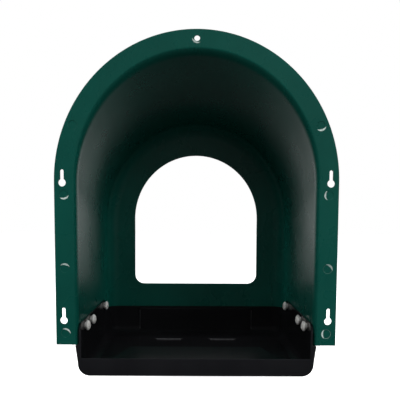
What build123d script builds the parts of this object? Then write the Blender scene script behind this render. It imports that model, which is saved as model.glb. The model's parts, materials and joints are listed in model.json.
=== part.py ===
from build123d import *
import math
import os

# Poultry nest box that hangs on a wall, open side against the wall.
# Millimetres. X runs along the wall, Y away from the wall, Z up.
# The origin lies on the wall, midway between the four keyholes.

# Flange and its fixing holes
FLANGE_WIDTH = 352.0
FLANGE_BOTTOM = -117.0
FLANGE_THICKNESS = 3.0
FLANGE_EDGE_RADIUS = 1.0
FLANGE_RISE = 1.045             # height of the half ellipse over its half width
MOUTH_CROWN = 87.0              # height of the arch centre at the wall
KEYHOLE_SPACING = (332.0, 172.0)
KEYHOLE_HEAD_RADIUS = 4.75
KEYHOLE_SLOT_WIDTH = 4.6
KEYHOLE_SLOT_RISE = 14.0
TOP_HOLE_RADIUS = 3.5
TOP_HOLE_HEIGHT = 260.0
EJECTOR_MARK_RADIUS = 5.5
EJECTOR_MARK_DEPTH = 0.4
EJECTOR_MARKS = ((164.0, 71.5), (164.0, -20.0), (164.0, -102.0), (152.0, 156.0))

# Tunnel of the hood
WALL = 3.0
TUNNEL_HALF = 148.0             # inside half width
TUNNEL_RISE = 1.061
FLARE_OUT = 5.3                 # the mouth widens by this much at the wall
FLARE_LENGTH = 14.0
FLARE_STEP_ANGLE = 10           # one section of the rounding for this much turn
FRONT_INSIDE = 260.0            # wall plane to inside of the front wall
FRONT_CROWN = 32.0              # height of the arch centre at the front wall
FRONT_CORNER_RADIUS = 20.0

# Entry for the hen, in the front wall
ENTRY_HALF = 101.5
ENTRY_CROWN = 38.2
ENTRY_RISE = 1.027
ENTRY_BOTTOM = -70.3
ENTRY_CORNER_RADIUS = 15.0
ENTRY_EDGE_RADIUS = 1.0
WITNESS_ANGLES = (41.0, 90.0, 139.0)
WITNESS_LENGTH = 14.0
WITNESS_WIDTH = 1.2
WITNESS_DEPTH = 0.4

# Tray
TRAY_WALL = 2.0
TRAY_GAP = 0.4                  # between the tray and the inside of the hood
TRAY_BOTTOM = -156.7
TRAY_LIP = -134.5
TRAY_EAR_TOP = -90.5
TRAY_EAR_END = 212.0            # from here the rim drops to the far wall
TRAY_EAR_RUN = 16.0
TRAY_EAR_RADII = (12.0, 12.0, 9.0)
TRAY_FAR_TOP = -108.0
TRAY_RIM_RADIUS = 0.8
TRAY_LEDGE_GAP = 0.3
TRAY_LEDGE_HALF = 152.2
TRAY_WAIST_Z = -134.0
TRAY_WAIST_HALF = 149.9
TRAY_FOOT_Z = -141.0
TRAY_FOOT_HALF = 149.1
TRAY_FLOOR_THICKNESS = 3.0
TRAY_DRAFT = 0.9                # narrowing of the hollow below the hood
TRAY_BASE_RADIUS = 15.0
PANEL_HALF = (94.5, 92.5)
PANEL_TOP = -111.0
PANEL_RISE = 3.0
PANEL_EDGE_RADIUS = 1.5
POCKET_X = (21.5, 64.5)
POCKET_Y = (194.0, 208.0)
POCKET_DEPTH = 1.6
POCKET_RADIUS = 3.0
POCKET_EDGE_RADIUS = 0.9
RAMP_Y = (8.0, 122.0)
RAMP_HALF = (135.0, 95.0)
RAMP_RISE = (0.5, 7.0)
RAMP_EDGE_RADIUS = 0.4

# Plastic screws, washers and nuts that hold the tray, M8
SCREW_Y = (35.0, 79.5, 200.0)
SCREW_NAMES = ("near", "middle", "far")
SCREW_Z = -98.5
SCREW_RADIUS = 4.0
SCREW_LENGTH = 16.0
SCREW_PITCH = 1.25
THREAD_DEPTH = 0.65
THREAD_START = 6.5              # plain shank under the head
HOLE_CLEARANCE = 0.25
HEAD_RADIUS = 6.75
HEAD_THICKNESS = 7.0            # flattened ball, rounded on both sides
HEAD_STANDOFF = 0.1
COLLAR_RADIUS = 4.4             # the head bears on the wall with this
SOCKET_FLATS = 5.0
SOCKET_DEPTH = 3.5
WASHER_RADIUS = 8.0
WASHER_THICKNESS = 1.6
NUT_FLATS = 13.0
NUT_HEIGHT = 6.5
NUT_CHAMFER = 0.9
NUT_CLEARANCE = 0.06
SEAT_GAP = 0.05                 # between stacked pieces

# Worked out from the above
TRAY_TOP_HALF = TUNNEL_HALF - TRAY_GAP
TRAY_INSIDE_HALF = TRAY_TOP_HALF - TRAY_WALL
TRAY_FAR = FRONT_INSIDE - 3.0
TRAY_FAR_RADIUS = FRONT_CORNER_RADIUS - TRAY_GAP
TRAY_FLOOR = TRAY_BOTTOM + TRAY_FLOOR_THICKNESS
HOOD_OUTSIDE_HALF = TUNNEL_HALF + WALL
HOLE_RADIUS = SCREW_RADIUS + HOLE_CLEARANCE


def across(y):
    """Plane parallel to the wall: drawing right is +X, drawing up is +Z."""
    return Plane(origin=(0, y, 0), x_dir=(1, 0, 0), z_dir=(0, -1, 0))


def sideways(x, y=0.0, z=0.0):
    """Plane facing +X: drawing right is +Y, drawing up is +Z."""
    return Plane(origin=(x, y, z), x_dir=(0, 1, 0), z_dir=(1, 0, 0))


def away(shape, start, length):
    """Push a drawing made on the wall plane away from the wall."""
    return extrude(across(start) * shape, amount=length, dir=(0, 1, 0))


def through_sides(shape, y, z):
    """Push a drawing made on a sideways plane through the whole width."""
    return extrude(sideways(-FLANGE_WIDTH, y, z) * shape, amount=2 * FLANGE_WIDTH)


def arch(half, crown, bottom, rise):
    """Arch outline: two legs under a half ellipse that is rise times as high as its half width."""
    legs = Polyline((-half, crown), (-half, bottom), (half, bottom), (half, crown))
    bow = EllipticalCenterArc((0, crown), half, half * rise, arc_size=180)
    return make_face(legs + bow)


def flare(y):
    """Extra half width of the mouth, a quarter ellipse in plan."""
    if y >= FLARE_LENGTH:
        return 0.0
    run = 1.0 - y / FLARE_LENGTH
    return FLARE_OUT * (1.0 - math.sqrt(1.0 - run * run))


def tunnel(offset, bottom, front):
    """Vaulted tunnel whose roof slopes down towards the front wall."""
    slope = (FRONT_CROWN - MOUTH_CROWN) / FRONT_INSIDE
    turns = [math.radians(angle) for angle in range(0, 91, FLARE_STEP_ANGLE)]
    stations = [FLARE_LENGTH * (1.0 - math.cos(turn)) for turn in turns] + [front]
    sections = []
    for y in stations:
        half = TUNNEL_HALF + offset + flare(y)
        crown = MOUTH_CROWN + slope * y
        sections.append(across(y) * arch(half, crown, bottom, TUNNEL_RISE))
    body = loft(sections, ruled=True)
    front_edges = body.faces().sort_by(Axis.Y)[-1].edges().sort_by(Axis.Z)[1:]
    return fillet(front_edges, FRONT_CORNER_RADIUS + offset)


def keyhole():
    """Round head hole with a narrower slot rising from it."""
    head = Circle(KEYHOLE_HEAD_RADIUS)
    slot = Pos(0, KEYHOLE_SLOT_RISE / 2) * Rectangle(KEYHOLE_SLOT_WIDTH, KEYHOLE_SLOT_RISE)
    end = Pos(0, KEYHOLE_SLOT_RISE) * Circle(KEYHOLE_SLOT_WIDTH / 2)
    return head + slot + end


def flange_cuts():
    """Keyholes, top hole and the shallow round marks of the ejector pins."""
    through = 3 * FLANGE_THICKNESS
    cuts = []
    for sx in (-0.5, 0.5):
        for sz in (-0.5, 0.5):
            spot = Pos(sx * KEYHOLE_SPACING[0], sz * KEYHOLE_SPACING[1])
            cuts.append(away(spot * keyhole(), -FLANGE_THICKNESS, through))
    cuts.append(away(Pos(0, TOP_HOLE_HEIGHT) * Circle(TOP_HOLE_RADIUS), -FLANGE_THICKNESS, through))
    for x, z in EJECTOR_MARKS:
        for side in (-1, 1):
            mark = Pos(side * x, z) * Circle(EJECTOR_MARK_RADIUS)
            cuts.append(away(mark, -1.0, 1.0 + EJECTOR_MARK_DEPTH))
    return cuts


def entry_outline():
    outline = arch(ENTRY_HALF, ENTRY_CROWN, ENTRY_BOTTOM, ENTRY_RISE)
    return fillet(outline.vertices().sort_by(Axis.Y)[:2], ENTRY_CORNER_RADIUS)


def entry_edges(hood):
    """Edges of the entry on the inner and outer face of the front wall."""
    front = hood.edges().filter_by_position(Axis.Y, FRONT_INSIDE - 0.01, FRONT_INSIDE + WALL + 0.01)
    reach = ENTRY_HALF + 1.0
    across_entry = front.filter_by_position(Axis.X, -reach, reach)
    lifted = across_entry.filter_by_position(Axis.Z, ENTRY_BOTTOM - 1.0, ENTRY_CROWN + ENTRY_RISE * reach)
    return lifted.filter_by(lambda edge: edge.bounding_box().size.Y < 0.01)


def witness_lines():
    """Shallow radial lines round the entry, on the inside of the front wall."""
    cuts = []
    for angle in WITNESS_ANGLES:
        line = Pos(ENTRY_HALF + WITNESS_LENGTH / 2, 0) * Rectangle(WITNESS_LENGTH, WITNESS_WIDTH)
        turned = Pos(0, ENTRY_CROWN) * Rot(0, 0, angle) * line
        cuts.append(away(turned, FRONT_INSIDE - 1.0, 1.0 + WITNESS_DEPTH))
    return cuts


def screw_notches():
    """Slots for the tray screws, open at the lower edge of the hood."""
    drop = SCREW_Z - FLANGE_BOTTOM + 10.0
    outline = Circle(HOLE_RADIUS) + Pos(0, -drop / 2) * Rectangle(2 * HOLE_RADIUS, drop)
    return [through_sides(outline, y, SCREW_Z) for y in SCREW_Y]


def make_hood():
    shell = tunnel(WALL, FLANGE_BOTTOM, FRONT_INSIDE + WALL)
    outline = arch(FLANGE_WIDTH / 2, MOUTH_CROWN, FLANGE_BOTTOM, FLANGE_RISE)
    flange = away(outline, 0.0, FLANGE_THICKNESS)
    rim = flange.faces().sort_by(Axis.Y)[-1].edges() + flange.faces().sort_by(Axis.Y)[0].edges()
    flange = fillet(rim, FLANGE_EDGE_RADIUS)
    void = tunnel(0.0, FLANGE_BOTTOM - 20.0, FRONT_INSIDE)
    hood = shell + flange - void
    hood -= away(entry_outline(), FRONT_INSIDE - 1.0, WALL + 2.0)
    hood = fillet(entry_edges(hood), ENTRY_EDGE_RADIUS)
    for cut in flange_cuts() + witness_lines() + screw_notches():
        hood -= cut
    return hood


def plan(half, near, far, corner):
    """Tray outline seen from above, with its far corners rounded."""
    outline = Pos(0, (near + far) / 2) * Rectangle(2 * half, far - near)
    return fillet(outline.vertices().sort_by(Axis.Y)[-2:], corner)


def rounded_basin(levels, near, far, corner, base_radius):
    """Loft of plan outlines, narrowing downwards, with a rounded base."""
    widest = levels[0][1]
    sections = []
    for z, half in levels:
        inset = widest - half
        outline = plan(half, near, far - inset, corner - inset)
        sections.append(Pos(0, 0, z) * outline)
    body = loft(sections, ruled=True)
    base = body.faces().sort_by(Axis.Z)[0].edges().sort_by(Axis.Y)[1:]
    return fillet(base, base_radius)


def tray_side_view():
    """What is kept of the tray, seen from the side: high ears, lower far wall."""
    deep = TRAY_BOTTOM - 10.0
    beyond = FRONT_INSIDE + 20.0
    drop_end = TRAY_EAR_END + TRAY_EAR_RUN
    points = [(0.0, deep), (0.0, TRAY_EAR_TOP), (TRAY_EAR_END, TRAY_EAR_TOP),
              (drop_end, TRAY_FAR_TOP), (beyond, TRAY_FAR_TOP), (beyond, deep)]
    outline = make_face(Polyline(*points, close=True))
    for (y, z), radius in zip(points[1:4], TRAY_EAR_RADII):
        corner = outline.vertices().sort_by_distance((y, z, 0))[0]
        outline = fillet(corner, radius)
    return through_sides(outline, 0.0, 0.0)


def tray_basin():
    """Outside of the tray below the hood, with the ledge the hood stands on."""
    levels = [(FLANGE_BOTTOM - TRAY_LEDGE_GAP, TRAY_LEDGE_HALF),
              (TRAY_WAIST_Z, TRAY_WAIST_HALF),
              (TRAY_FOOT_Z, TRAY_FOOT_HALF),
              (TRAY_BOTTOM, TRAY_FOOT_HALF - TRAY_DRAFT)]
    return rounded_basin(levels, 0.0, FRONT_INSIDE + WALL, FRONT_CORNER_RADIUS + WALL, TRAY_BASE_RADIUS)


def tray_ears():
    """Outside of the tray within the hood."""
    root = FLANGE_BOTTOM - 4.0
    outline = plan(TRAY_TOP_HALF, 0.0, TRAY_FAR, TRAY_FAR_RADIUS)
    return extrude(Pos(0, 0, root) * outline, amount=TRAY_EAR_TOP - root)


def tray_hollow():
    levels = [(TRAY_EAR_TOP + 1.0, TRAY_INSIDE_HALF),
              (FLANGE_BOTTOM, TRAY_INSIDE_HALF),
              (TRAY_FLOOR, TRAY_INSIDE_HALF - TRAY_DRAFT)]
    return rounded_basin(levels, TRAY_WALL, TRAY_FAR - TRAY_WALL, TRAY_FAR_RADIUS - TRAY_WALL,
                         TRAY_BASE_RADIUS - TRAY_WALL)


def tray_lip_opening():
    """Air above the low lip at the wall, between the ears."""
    rise = TRAY_EAR_TOP - TRAY_LIP + 1.0
    outline = Pos(0, TRAY_LIP + rise / 2) * Rectangle(2 * (TRAY_INSIDE_HALF - TRAY_DRAFT), rise)
    return away(outline, -1.0, TRAY_WALL + 2.0)


def tray_panel():
    """Panel that stands a little proud of the far wall, with soft edges."""
    top, foot = PANEL_HALF
    low = TRAY_FLOOR - 0.5
    outline = make_face(Polyline((-top, PANEL_TOP), (top, PANEL_TOP), (foot, low), (-foot, low), close=True))
    start = TRAY_FAR - TRAY_WALL - PANEL_RISE
    panel = away(outline, start, PANEL_RISE + TRAY_WALL / 2)
    front = panel.faces().sort_by(Axis.Y)[0].edges().sort_by(Axis.Z)[1:]
    return fillet(front, PANEL_EDGE_RADIUS)


def tray_ramp():
    """Middle of the floor, which rises gently away from the wall."""
    near, far = RAMP_Y
    wide, narrow = RAMP_HALF
    outline = make_face(Polyline((-wide, near), (wide, near), (narrow, far), (-narrow, far), close=True))
    root = TRAY_FLOOR - 0.5
    block = extrude(Pos(0, 0, root) * outline, amount=2 * RAMP_RISE[1])
    slope = Polyline((near, root), (near, TRAY_FLOOR + RAMP_RISE[0]),
                     (far, TRAY_FLOOR + RAMP_RISE[1]), (far, root), close=True)
    ramp = block & through_sides(make_face(slope), 0.0, 0.0)
    top = ramp.faces().sort_by(Axis.Z)[-1]
    return fillet(top.edges(), RAMP_EDGE_RADIUS)


def tray_pocket(side):
    """Shallow pocket in the floor, with a soft rim."""
    width = POCKET_X[1] - POCKET_X[0]
    length = POCKET_Y[1] - POCKET_Y[0]
    x = side * (POCKET_X[0] + POCKET_X[1]) / 2
    y = (POCKET_Y[0] + POCKET_Y[1]) / 2
    outline = Pos(x, y, TRAY_FLOOR - POCKET_DEPTH) * RectangleRounded(width, length, POCKET_RADIUS)
    return extrude(outline, amount=2 * POCKET_DEPTH)


def round_pockets(tray):
    """Soften the rims of the pockets."""
    middle = (POCKET_Y[0] + POCKET_Y[1]) / 2
    rims = [edge for edge in tray.edges()
            if abs(edge.center().Z - TRAY_FLOOR) < 0.01 and edge.bounding_box().max.Z < TRAY_FLOOR + 0.01
            and abs(edge.center().Y - middle) < POCKET_Y[1] - middle + 0.01
            and POCKET_X[0] - 0.01 < abs(edge.center().X) < POCKET_X[1] + 0.01]
    return fillet(rims, POCKET_EDGE_RADIUS)


def looks_up(face):
    """True for a face of the rim or ledge, level or sloping along the tray."""
    normal = face.normal_at()
    return normal.Z > 0.05 and abs(normal.X) < 0.001 and face.center().Z > TRAY_LIP - 0.1


def round_rim(tray):
    """Soften the edges round the faces that look up."""
    edges = [edge for face in tray.faces() if looks_up(face) for edge in face.edges()]
    outline = [edge for edge in edges if sum(edge.is_same(other) for other in edges) == 1]
    return fillet(outline, TRAY_RIM_RADIUS)


def make_tray():
    tray = tray_basin() + tray_ears() - tray_hollow()
    tray = (tray & tray_side_view()) - tray_lip_opening()
    tray = round_rim(tray)
    tray += tray_panel() + tray_ramp()
    tray -= tray_pocket(-1) + tray_pocket(1)
    tray = round_pockets(tray)
    for y in SCREW_Y:
        tray -= through_sides(Circle(HOLE_RADIUS), y, SCREW_Z)
    return tray


def rod(radius, start, length):
    """Cylinder along X."""
    return extrude(sideways(start) * Circle(radius), amount=length)


def thread_outline():
    """Half section of the shank: a plain neck, then one tooth per pitch."""
    points = [(-0.5, 0.0), (-0.5, SCREW_RADIUS), (THREAD_START, SCREW_RADIUS)]
    x = THREAD_START
    while x + SCREW_PITCH < SCREW_LENGTH:
        points.append((x + 0.45 * SCREW_PITCH, SCREW_RADIUS - THREAD_DEPTH))
        points.append((x + 0.90 * SCREW_PITCH, SCREW_RADIUS))
        points.append((x + SCREW_PITCH, SCREW_RADIUS))
        x += SCREW_PITCH
    points += [(SCREW_LENGTH, SCREW_RADIUS - THREAD_DEPTH), (SCREW_LENGTH, 0.0)]
    return make_face(Polyline(*points, close=True))


def head_outline():
    """Half section of the head: a flattened ball on a short collar."""
    middle = -HEAD_STANDOFF - HEAD_THICKNESS / 2
    ball = Pos(middle, 0) * Ellipse(HEAD_THICKNESS / 2, HEAD_RADIUS)
    upper = Pos(middle, HEAD_RADIUS) * Rectangle(2 * HEAD_THICKNESS, 2 * HEAD_RADIUS)
    collar = Pos(middle / 2, COLLAR_RADIUS / 2) * Rectangle(-middle, COLLAR_RADIUS)
    return (ball & upper) + collar


def make_screw():
    """Socket-head screw: seat of the head at X 0, shank towards +X."""
    screw = revolve(head_outline(), Axis.X) + revolve(thread_outline(), Axis.X)
    socket = RegularPolygon(SOCKET_FLATS / 2, 6, major_radius=False)
    top = -HEAD_STANDOFF - HEAD_THICKNESS
    return screw - extrude(sideways(top - 1.0) * socket, amount=SOCKET_DEPTH + 1.0)


def make_washer():
    disc = rod(WASHER_RADIUS, 0.0, WASHER_THICKNESS)
    disc = fillet(disc.edges().filter_by(GeomType.CIRCLE), WASHER_THICKNESS / 5)
    return disc - rod(HOLE_RADIUS, -1.0, WASHER_THICKNESS + 2.0)


def make_nut():
    """Hexagon nut with its corners turned off at both ends."""
    hexagon = RegularPolygon(NUT_FLATS / 2, 6, major_radius=False)
    body = extrude(sideways(0.0) * hexagon, amount=NUT_HEIGHT)
    corner = NUT_FLATS / math.sqrt(3.0)
    turned = rod(corner, 0.0, NUT_HEIGHT)
    turned = chamfer(turned.edges().filter_by(GeomType.CIRCLE), NUT_CHAMFER / 2, NUT_CHAMFER)
    return (body & turned) - rod(SCREW_RADIUS + NUT_CLEARANCE, -1.0, NUT_HEIGHT + 2.0)


def fastener_places():
    """Name and place of each screw axis; the shank points out of the box."""
    places = {}
    for side, turn in (("left", 180.0), ("right", 0.0)):
        for name, y in zip(SCREW_NAMES, SCREW_Y):
            places[f"{side}_{name}"] = Pos(0, y, SCREW_Z) * Rot(0, 0, turn)
    return places


def make_fasteners():
    head_seat = TRAY_INSIDE_HALF - SEAT_GAP
    washer_seat = HOOD_OUTSIDE_HALF + SEAT_GAP
    nut_seat = washer_seat + WASHER_THICKNESS + SEAT_GAP
    screw = make_screw()
    washer = make_washer()
    nut = make_nut()
    parts = {}
    for name, place in fastener_places().items():
        parts[f"screw_{name}"] = place * Pos(head_seat, 0, 0) * screw
        parts[f"washer_{name}"] = place * Pos(washer_seat, 0, 0) * washer
        parts[f"nut_{name}"] = place * Pos(nut_seat, 0, 0) * nut
    return parts


def make_parts():
    parts = {"hood": make_hood(), "tray": make_tray()}
    parts.update(make_fasteners())
    return parts


os.makedirs("parts", exist_ok=True)
for part_name, part in make_parts().items():
    export_step(part, f"parts/{part_name}.step")
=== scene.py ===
import json
import math

import bpy
from mathutils import Matrix, Vector


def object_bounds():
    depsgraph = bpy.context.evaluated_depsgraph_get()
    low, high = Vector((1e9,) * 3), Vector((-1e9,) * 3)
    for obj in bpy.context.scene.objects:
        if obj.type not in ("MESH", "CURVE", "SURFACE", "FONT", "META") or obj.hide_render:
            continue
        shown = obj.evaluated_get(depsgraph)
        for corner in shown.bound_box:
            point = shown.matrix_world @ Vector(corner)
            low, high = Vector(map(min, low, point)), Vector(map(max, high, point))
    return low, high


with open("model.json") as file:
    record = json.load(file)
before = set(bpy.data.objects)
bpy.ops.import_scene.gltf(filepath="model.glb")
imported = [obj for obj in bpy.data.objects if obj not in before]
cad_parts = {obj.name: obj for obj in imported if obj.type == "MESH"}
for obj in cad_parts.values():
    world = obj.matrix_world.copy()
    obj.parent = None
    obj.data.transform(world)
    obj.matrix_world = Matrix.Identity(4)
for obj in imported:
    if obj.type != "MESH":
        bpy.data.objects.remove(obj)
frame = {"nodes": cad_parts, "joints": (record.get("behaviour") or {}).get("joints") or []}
cad_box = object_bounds()

MM = 0.001
WHITE = (1.0, 1.0, 1.0)
NO_LIGHT = (0.0, 0.0, 0.0)


class Graph:
    """Short calls that add nodes to one node tree and join them."""

    def __init__(self, tree):
        self.tree = tree

    def put(self, socket, value):
        """Join a node's output to the socket, or set the socket to a plain value."""
        if isinstance(value, bpy.types.NodeSocket):
            self.tree.links.new(value, socket)
        elif isinstance(value, tuple) and socket.type == "RGBA":
            socket.default_value = (*value, 1.0)
        else:
            socket.default_value = value

    def node(self, kind, inputs=(), **settings):
        made = self.tree.nodes.new("ShaderNode" + kind)
        for key, value in settings.items():
            setattr(made, key, value)
        for key, value in dict(inputs).items():
            self.put(made.inputs[key], value)
        return made

    def math(self, operation, a, b=0.0):
        return self.node("Math", {0: a, 1: b}, operation=operation).outputs[0]

    def vector(self, operation, a, b):
        """Dot product or distance of two vectors, as one number."""
        return self.node("VectorMath", {0: a, 1: b}, operation=operation).outputs["Value"]

    def ease(self, value, start, end, low=0.0, high=1.0):
        """Smooth step from low at start to high at end."""
        inputs = {"Value": value, "From Min": start, "From Max": end, "To Min": low, "To Max": high}
        return self.node("MapRange", inputs, interpolation_type="SMOOTHSTEP").outputs[0]

    def mix(self, factor, a, b):
        """Colour a where the factor is 0, colour b where it is 1."""
        made = self.node("Mix", data_type="RGBA")
        self.put(made.inputs[0], factor)
        self.put(made.inputs[6], a)
        self.put(made.inputs[7], b)
        return made.outputs[2]

    def place(self, scale=(1.0, 1.0, 1.0)):
        """The point on the piece in metres, stretched by the scale."""
        point = self.node("TexCoord").outputs["Object"]
        return self.node("Mapping", {"Vector": point, "Scale": scale}).outputs[0]

    def spot(self):
        """The three coordinates of the point on the piece, in metres."""
        return self.node("SeparateXYZ", {0: self.place()}).outputs

    def noise(self, point, size, detail=2.0, roughness=0.5, distortion=0.0):
        """Cloudy pattern from 0 to 1 whose spots are about the size in metres."""
        inputs = {"Vector": point, "Scale": 1.0 / size, "Detail": detail,
                  "Roughness": roughness, "Distortion": distortion}
        return self.node("TexNoise", inputs).outputs["Fac"]

    def rounded(self, radius):
        """Normal that runs smoothly over edges as if they had the radius."""
        return self.node("Bevel", {"Radius": radius}, samples=6).outputs[0]

    def bump(self, height, depth, under):
        """The normal under it, tilted by a height from 0 to 1 that stands for the depth in metres."""
        inputs = {"Height": height, "Distance": depth, "Strength": 1.0, "Normal": under}
        return self.node("Bump", inputs).outputs[0]


def material(name):
    """New material with an empty graph and its shader."""
    made = bpy.data.materials.new(name)
    made.use_nodes = True
    graph = Graph(made.node_tree)
    return made, graph, made.node_tree.nodes["Principled BSDF"]


def edge_wear(g, radius, patch):
    """0 on flat faces, up to 1 on the sharp edges, broken up in patches of the given size."""
    true = g.node("NewGeometry").outputs["Normal"]
    turn = g.math("SUBTRACT", 1.0, g.vector("DOT_PRODUCT", g.rounded(radius), true))
    broken = g.noise(g.place(), patch, detail=4.0)
    return g.math("MULTIPLY", g.ease(turn, 0.01, 0.16), g.ease(broken, 0.35, 0.62))


# the hood: green moulded plastic, with painted highlights as crescents beside the ejector marks on
# its flange

GREEN_DEEP = (0.0024, 0.078, 0.059)
GREEN_LIGHT = (0.0034, 0.090, 0.068)
GREEN_STREAK = (0.0045, 0.105, 0.080)
GREEN_SPECK = (0.008, 0.12, 0.09)
GREEN_WORN = (0.05, 0.24, 0.19)
# painted highlight: the near-white glint colour of the crescents on the ejector marks
CRESCENT_GLINT_WHITE = (0.86, 1.0, 0.95)
HOOD_WAVE_DEPTH = 0.04 * MM
HOOD_PEEL_DEPTH = 0.003 * MM

MOULD_EDGE_RADIUS = 0.6 * MM
WEAR_RADIUS = 0.7 * MM
WEAR_PATCH = 4.0 * MM

# each painted highlight crescent: x and z of its mark on the wall plane in mm, direction of the
# bright side in degrees, strength, and strength of the thin painted highlight ring round the mark
CRESCENTS = ((-164.0, 71.5, -75.0, 0.85, 0.0), (-164.0, -20.0, 80.0, 0.80, 0.0),
             (-164.0, -102.0, 60.0, 0.95, 0.0), (164.0, 71.5, 180.0, 0.75, 0.0),
             (164.0, -20.0, 45.0, 0.55, 0.1), (164.0, -102.0, 180.0, 0.90, 0.35),
             (152.0, 156.0, -70.0, 0.85, 0.0), (0.0, 260.0, -115.0, 0.60, 0.0))
MARK_RADIUS = 5.5 * MM
CRESCENT_BULGE = 2.6 * MM
CRESCENT_CUT_RADIUS = 12.0 * MM
CRESCENT_SOFTNESS = 0.35 * MM


def crescent(g, point, x, z, angle, strength, ring):
    """Sliver of painted highlight between the mark's circle and a larger circle, bright on one side.
    """
    way = Vector((math.cos(math.radians(angle)), 0.0, math.sin(math.radians(angle))))
    centre = Vector((x * MM, 0.0, z * MM))
    outer = MARK_RADIUS + CRESCENT_BULGE / 3
    shift = CRESCENT_CUT_RADIUS + CRESCENT_BULGE - outer
    from_mark = g.vector("DISTANCE", point, tuple(centre))
    from_cut = g.vector("DISTANCE", point, tuple(centre - shift * way))
    inside = g.ease(from_mark, outer, outer - CRESCENT_SOFTNESS)
    beyond = g.ease(from_cut, CRESCENT_CUT_RADIUS, CRESCENT_CUT_RADIUS + CRESCENT_SOFTNESS)
    sliver = g.math("MULTIPLY", g.math("MULTIPLY", inside, beyond), strength)
    off_ring = g.math("ABSOLUTE", g.math("SUBTRACT", from_mark, MARK_RADIUS))
    line = g.ease(off_ring, CRESCENT_SOFTNESS, 0.0, 0.0, ring)
    return g.math("MAXIMUM", sliver, line)


def painted_glint_crescents(g):
    """All the painted highlight crescents, on the face of the flange only."""
    x, depth, z = g.spot()
    flat = g.node("CombineXYZ", {0: x, 2: z}).outputs[0]
    mask = 0.0
    for row in CRESCENTS:
        mask = g.math("MAXIMUM", mask, crescent(g, flat, *row))
    on_face = g.ease(depth, 1.0 * MM, 0.6 * MM)
    grain = g.ease(g.noise(g.place(), 1.2 * MM, detail=3.0), 0.25, 0.55, 0.7, 1.0)
    return g.math("MULTIPLY", g.math("MULTIPLY", mask, on_face), grain)


def hood_colour(g, wear):
    """Cloudy green with flow streaks along the depth, fine specks, edge wear and the painted
    highlight crescents.
    """
    cloud = g.noise(g.place(), 0.09, detail=3.0)
    streak = g.noise(g.place((1.0, 0.2, 1.0)), 0.02, detail=3.0)
    speck = g.noise(g.place(), 1.1 * MM, detail=1.0)
    base = g.mix(g.ease(cloud, 0.3, 0.7), GREEN_DEEP, GREEN_LIGHT)
    base = g.mix(g.ease(streak, 0.45, 0.75, 0.0, 0.25), base, GREEN_STREAK)
    base = g.mix(g.ease(speck, 0.66, 0.74, 0.0, 0.12), base, GREEN_SPECK)
    base = g.mix(g.math("MULTIPLY", wear, 0.35), base, GREEN_WORN)
    # painted highlights: the crescents are laid over the green
    return g.mix(painted_glint_crescents(g), base, CRESCENT_GLINT_WHITE)


def hood_material():
    """Satin green plastic with uneven shine, a slight waviness and fine orange peel."""
    made, g, shader = material("moulded_green_plastic")
    wear = edge_wear(g, WEAR_RADIUS, WEAR_PATCH)
    g.put(shader.inputs["Base Color"], hood_colour(g, wear))
    smear = g.noise(g.place((1.0, 0.5, 0.7)), 0.035, detail=3.0, roughness=0.5, distortion=0.3)
    rough = g.ease(smear, 0.3, 0.7, 0.25, 0.31)
    g.put(shader.inputs["Roughness"], g.math("ADD", rough, g.math("MULTIPLY", wear, 0.12)))
    peel = g.noise(g.place(), 1.6 * MM, detail=2.0)
    wave = g.noise(g.place((1.0, 0.4, 1.0)), 0.03, detail=1.0)
    peeled = g.bump(peel, HOOD_PEEL_DEPTH, g.rounded(MOULD_EDGE_RADIUS))
    g.put(shader.inputs["Normal"], g.bump(wave, HOOD_WAVE_DEPTH, peeled))
    g.put(shader.inputs["IOR"], 1.5)
    return made


# the tray: black moulded plastic, with painted shade inside and painted highlights along edges inside

BLACK_DEEP = (0.0125, 0.0128, 0.0150)
BLACK_LIGHT = (0.0160, 0.0165, 0.0190)
# painted shade colour for everything inside the tray
BLACK_PAINTED_SHADE = (0.001, 0.001, 0.001)
BLACK_WORN = (0.035, 0.036, 0.040)
# painted highlight colour along the pocket rims and the panel's upright edges
RIM_HIGHLIGHT_GREY = (0.16, 0.16, 0.17)
TRAY_PEEL_DEPTH = 0.001 * MM

# the floor pockets' far rims run between two distances from the middle, at one distance from the
# wall, and the panel's upright edges stand at one distance from the middle, between two heights
POCKET_RIM_X = (20.0 * MM, 66.0 * MM)
POCKET_RIM_Y = 208.6 * MM
POCKET_RIM_TOP = -150.0 * MM
PANEL_EDGE_X = 93.4 * MM
PANEL_EDGE_Y = 250.0 * MM
PANEL_EDGE_Z = (-146.0 * MM, -114.0 * MM)
# width and fade of the painted highlight lines
HIGHLIGHT_WIDTH = 0.9 * MM
HIGHLIGHT_FADE = 2.0 * MM
BAND_SOFTNESS = 0.5 * MM


def stripe(g, value, centre, core):
    """1 at the centre and 0 a painted highlight's width away, with the core as the share that is
    fully bright.
    """
    off = g.math("ABSOLUTE", g.math("SUBTRACT", value, centre))
    return g.ease(off, HIGHLIGHT_WIDTH, core * HIGHLIGHT_WIDTH)


def band(g, value, start, end):
    """1 between start and end, 0 outside, with soft ends."""
    rise = g.ease(value, start - BAND_SOFTNESS, start + BAND_SOFTNESS)
    fall = g.ease(value, end + BAND_SOFTNESS, end - BAND_SOFTNESS)
    return g.math("MULTIPLY", rise, fall)


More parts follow.
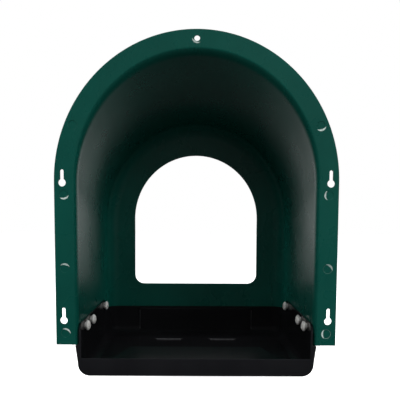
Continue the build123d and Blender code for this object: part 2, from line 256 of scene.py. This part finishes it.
def painted_rim_highlights(g):
    """Painted highlights along the pockets' far rims and the panel's upright edges, broken up in
    patches.
    """
    x, y, z = g.spot()
    across = g.math("ABSOLUTE", x)
    rim = g.math("MULTIPLY", stripe(g, y, POCKET_RIM_Y, 0.3), band(g, across, *POCKET_RIM_X))
    rim = g.math("MULTIPLY", rim, g.ease(z, POCKET_RIM_TOP, POCKET_RIM_TOP - HIGHLIGHT_FADE))
    edge = g.math("MULTIPLY", stripe(g, across, PANEL_EDGE_X, 0.2), band(g, z, *PANEL_EDGE_Z))
    edge = g.math("MULTIPLY", edge, g.ease(y, PANEL_EDGE_Y - HIGHLIGHT_FADE, PANEL_EDGE_Y, 0.0, 0.5))
    patchy = g.ease(g.noise(g.place(), 0.006, detail=4.0), 0.25, 0.6, 0.55, 1.0)
    return g.math("MULTIPLY", g.math("MAXIMUM", rim, edge), patchy)


def tray_colour(g):
    """Cloudy black with painted shade over all but the face towards the wall, which stays palest,
    with edge wear and painted highlights.
    """
    cloud = g.noise(g.place(), 0.07, detail=3.0)
    base = g.mix(g.ease(cloud, 0.3, 0.7), BLACK_DEEP, BLACK_LIGHT)
    from_wall = g.spot()[1]
    # painted shade: from 0.5 mm to 3 mm off the wall plane the black blends half-way to near black
    base = g.mix(g.ease(from_wall, 0.5 * MM, 3.0 * MM, 0.0, 0.5), base, BLACK_PAINTED_SHADE)
    wear = edge_wear(g, WEAR_RADIUS, WEAR_PATCH)
    base = g.mix(g.math("MULTIPLY", wear, 0.4), base, BLACK_WORN)
    # painted highlights on the pocket rims and panel edges
    return g.mix(painted_rim_highlights(g), base, RIM_HIGHLIGHT_GREY)


def tray_material():
    """Black plastic with a soft, smeared shine and fine orange peel."""
    made, g, shader = material("moulded_black_plastic")
    g.put(shader.inputs["Base Color"], tray_colour(g))
    smear = g.noise(g.place((0.5, 1.0, 1.0)), 0.025, detail=5.0, roughness=0.62, distortion=0.5)
    g.put(shader.inputs["Roughness"], g.ease(smear, 0.3, 0.72, 0.20, 0.27))
    peel = g.noise(g.place(), 1.8 * MM, detail=2.0)
    g.put(shader.inputs["Normal"], g.bump(peel, TRAY_PEEL_DEPTH, g.rounded(MOULD_EDGE_RADIUS)))
    g.put(shader.inputs["Specular IOR Level"], 0.26)
    return made


# the screws, washers and nuts: natural white nylon

NYLON_SHADE = (0.70, 0.70, 0.67)
NYLON_LIGHT = (0.78, 0.78, 0.76)
NYLON_WORN = (0.55, 0.53, 0.48)
NYLON_EDGE_RADIUS = 0.3 * MM
NYLON_WEAR_RADIUS = 0.4 * MM
NYLON_WEAR_PATCH = 1.5 * MM
NYLON_GRAIN_DEPTH = 0.006 * MM


def nylon_material():
    """Slightly translucent white plastic with a fine grain and handled edges."""
    made, g, shader = material("white_nylon")
    cloud = g.noise(g.place(), 0.005, detail=3.0)
    base = g.mix(g.ease(cloud, 0.3, 0.7), NYLON_SHADE, NYLON_LIGHT)
    wear = edge_wear(g, NYLON_WEAR_RADIUS, NYLON_WEAR_PATCH)
    g.put(shader.inputs["Base Color"], g.mix(g.math("MULTIPLY", wear, 0.3), base, NYLON_WORN))
    smear = g.noise(g.place(), 0.003, detail=4.0)
    g.put(shader.inputs["Roughness"], g.ease(smear, 0.3, 0.7, 0.32, 0.46))
    g.put(shader.inputs["Subsurface Weight"], 0.25)
    g.put(shader.inputs["Subsurface Scale"], 0.8 * MM)
    g.put(shader.inputs["Subsurface Radius"], (1.0, 0.95, 0.85))
    grain = g.noise(g.place(), 0.8 * MM, detail=2.0)
    g.put(shader.inputs["Normal"], g.bump(grain, NYLON_GRAIN_DEPTH, g.rounded(NYLON_EDGE_RADIUS)))
    return made


def dress_nodes():
    """Give every CAD node the material of its piece."""
    finishes = {"hood": hood_material(), "tray": tray_material()}
    nylon = nylon_material()
    for name, node in frame["nodes"].items():
        node.data.materials.clear()
        node.data.materials.append(finishes.get(name, nylon))


# the camera stands in front of the mouth, a little above the middle, and looks slightly down

CAMERA_PLACE = Vector((-0.002, -0.7447, 0.0527))
CAMERA_TILT = math.radians(4.93)
CAMERA_ROLL = math.radians(0.24)
CAMERA_SHIFT = {"shift_x": 0.0135, "shift_y": 0.155}
CAMERA_SENSOR = 36
CAMERA_LENS = 54


def make_camera():
    data = bpy.data.cameras.new("camera")
    cam = bpy.data.objects.new("camera", data)
    bpy.context.scene.collection.objects.link(cam)
    bpy.context.scene.camera = cam
    data.sensor_width = CAMERA_SENSOR
    data.lens = CAMERA_LENS
    turn = Matrix.Rotation(math.pi / 2 - CAMERA_TILT, 4, "X") @ Matrix.Rotation(CAMERA_ROLL, 4, "Z")
    cam.matrix_world = Matrix.Translation(CAMERA_PLACE) @ turn
    for name, amount in CAMERA_SHIFT.items():
        shift_at_home(cam, name, amount)


def shift_at_home(cam, name, amount):
    """Lens shift that holds only while the camera stands at its own place."""
    driver = cam.data.driver_add(name).driver
    driver.type = "SCRIPTED"
    terms = []
    for axis in range(3):
        var = driver.variables.new()
        var.name = "xyz"[axis]
        var.type = "SINGLE_PROP"
        var.targets[0].id = cam
        var.targets[0].data_path = f"location[{axis}]"
        terms.append(f"abs({var.name} - ({CAMERA_PLACE[axis]:.4f}))")
    driver.expression = f"{amount} if {' + '.join(terms)} < 0.001 else 0"


# how bright the studio is to reflections and bounced light, against 1.0 to the camera

BACKDROP_GLOW = 0.58
BACKDROP_TOP_GLOW = 0.12
FRONT_LOW_GLOW = 0.03
FRONT_TOP_GLOW = 0.06
ROOM_GLOW = 0.02


def studio_world():
    """White to the camera, and otherwise a backdrop behind the object and a dim room in front."""
    world = bpy.data.worlds.new("studio")
    bpy.context.scene.world = world
    world.use_nodes = True
    g = Graph(world.node_tree)
    way = g.node("TexCoord").outputs["Generated"]
    ahead = g.vector("DOT_PRODUCT", way, (0.0, 1.0, 0.0))
    up = g.vector("DOT_PRODUCT", way, (0.0, 0.0, 1.0))
    backdrop = g.ease(up, 0.0, 0.25, BACKDROP_GLOW, BACKDROP_TOP_GLOW)
    back = g.math("MULTIPLY", g.ease(ahead, 0.3, 0.6), backdrop)
    room = g.ease(up, 0.05, 0.25, FRONT_LOW_GLOW, FRONT_TOP_GLOW)
    front = g.math("MULTIPLY", g.ease(ahead, -0.3, -0.7), room)
    glow = g.math("ADD", g.math("ADD", back, front), ROOM_GLOW)
    seen = g.node("LightPath").outputs["Is Camera Ray"]
    background = world.node_tree.nodes["Background"]
    g.put(background.inputs["Color"], WHITE)
    g.put(background.inputs["Strength"], g.math("MAXIMUM", seen, glow))


# each softbox: azimuth and elevation in degrees, side in metres, power in watts, and the share of
# the power that shows in reflections; azimuth 0 is the camera's side, and it grows to the right
SOFTBOXES = {
    "key_right": (46, 27, 1.3, 21, 0.12),
    "fill_left": (-52, 26, 1.3, 16, 0.12),
    "front": (12, 20, 1.3, 6, 0.1),
    "top": (-5, 64, 1.4, 20, 0.4),
    "side_right": (104, 34, 1.3, 26, 0.35),
    "side_left": (-104, 34, 1.3, 26, 0.35),
    "behind": (180, 68, 1.2, 20, 0.1),
}
SOFTBOX_DISTANCE = 2.4

# a panel before the mouth that shines up, in place of light thrown back by the floor
BOUNCE_PLACE = Vector((0.0, -0.55, cad_box[0].z + 2 * MM))
BOUNCE_SIZE = 1.0
BOUNCE_POWER = 0.75


def light_panel(name, place, way, size, power, glossy=True):
    """Square area light that shines along the way; one that isn't glossy shows in no reflection."""
    lamp = bpy.data.lights.new(name, "AREA")
    lamp.shape = "SQUARE"
    lamp.size = size
    lamp.energy = power
    obj = bpy.data.objects.new(name, lamp)
    bpy.context.scene.collection.objects.link(obj)
    obj.location = place
    obj.rotation_euler = way.to_track_quat("-Z", "Y").to_euler()
    obj.visible_camera = False
    obj.visible_glossy = glossy


def softbox(name, azimuth, elevation, size, power, gloss):
    """Softbox aimed at the object, as one panel without reflections and one with them."""
    turn = math.radians(azimuth)
    lift = math.radians(elevation)
    way = Vector((math.sin(turn) * math.cos(lift), -math.cos(turn) * math.cos(lift), math.sin(lift)))
    place = way * SOFTBOX_DISTANCE
    light_panel(name, place, -way, size, power * (1.0 - gloss), glossy=False)
    light_panel(name + "_shine", place, -way, size, power * gloss)


def light_studio():
    for name, row in SOFTBOXES.items():
        softbox(name, *row)
    up = Vector((0.0, 0.0, 1.0))
    light_panel("floor_bounce", BOUNCE_PLACE, up, BOUNCE_SIZE, BOUNCE_POWER, glossy=False)


FLOOR_REACH = 6.0
FLOOR_GAP = 0.5 * MM
FLOOR_GREY = (0.8, 0.8, 0.8)
FLOOR_SEEN_GLOW = 0.97


def floor_glow(g):
    """Glow to all but the camera: more far behind and beside the object, little in front of it."""
    x, y, _ = g.spot()
    behind = g.ease(y, 0.75, 2.9, 0.035, 0.42)
    beside = g.ease(g.math("ABSOLUTE", x), 0.2, 0.42, 0.0, 0.14)
    past_mouth = g.ease(y, -0.1, 0.1, 0.1, 1.0)
    return g.math("MULTIPLY", g.math("MAXIMUM", behind, beside), past_mouth)


def floor_material():
    """Plain white to the camera, a soft glow to everything else, and clear from below."""
    made, g, shader = material("white_sweep")
    seen = g.node("LightPath").outputs["Is Camera Ray"]
    glow = g.math("MAXIMUM", g.math("MULTIPLY", seen, FLOOR_SEEN_GLOW), floor_glow(g))
    g.put(shader.inputs["Base Color"], g.mix(seen, NO_LIGHT, FLOOR_GREY))
    g.put(shader.inputs["Roughness"], 0.85)
    g.put(shader.inputs["Emission Color"], WHITE)
    g.put(shader.inputs["Emission Strength"], glow)
    from_below = g.node("NewGeometry").outputs["Backfacing"]
    clear = g.node("BsdfTransparent").outputs[0]
    both = g.node("MixShader", {0: from_below, 1: shader.outputs[0], 2: clear}).outputs[0]
    g.put(made.node_tree.nodes["Material Output"].inputs["Surface"], both)
    return made


def lowest_reach():
    """Height of the tray's underside at the end of its slide."""
    slide = next(joint for joint in frame["joints"] if joint["type"] == "slide")
    return cad_box[0].z - slide["range_m"][1]


def make_floor():
    """Floor low enough for the tray to drop out of the hood without meeting it."""
    mesh = bpy.data.meshes.new("floor")
    z = lowest_reach() - FLOOR_GAP
    corners = [(x * FLOOR_REACH, y * FLOOR_REACH, z) for x, y in ((-1, -1), (1, -1), (1, 1), (-1, 1))]
    mesh.from_pydata(corners, [], [(0, 1, 2, 3)])
    mesh.materials.append(floor_material())
    floor = bpy.data.objects.new("floor", mesh)
    bpy.context.scene.collection.objects.link(floor)


dress_nodes()
make_camera()
studio_world()
light_studio()
make_floor()
bpy.context.scene.view_settings.view_transform = "Standard"
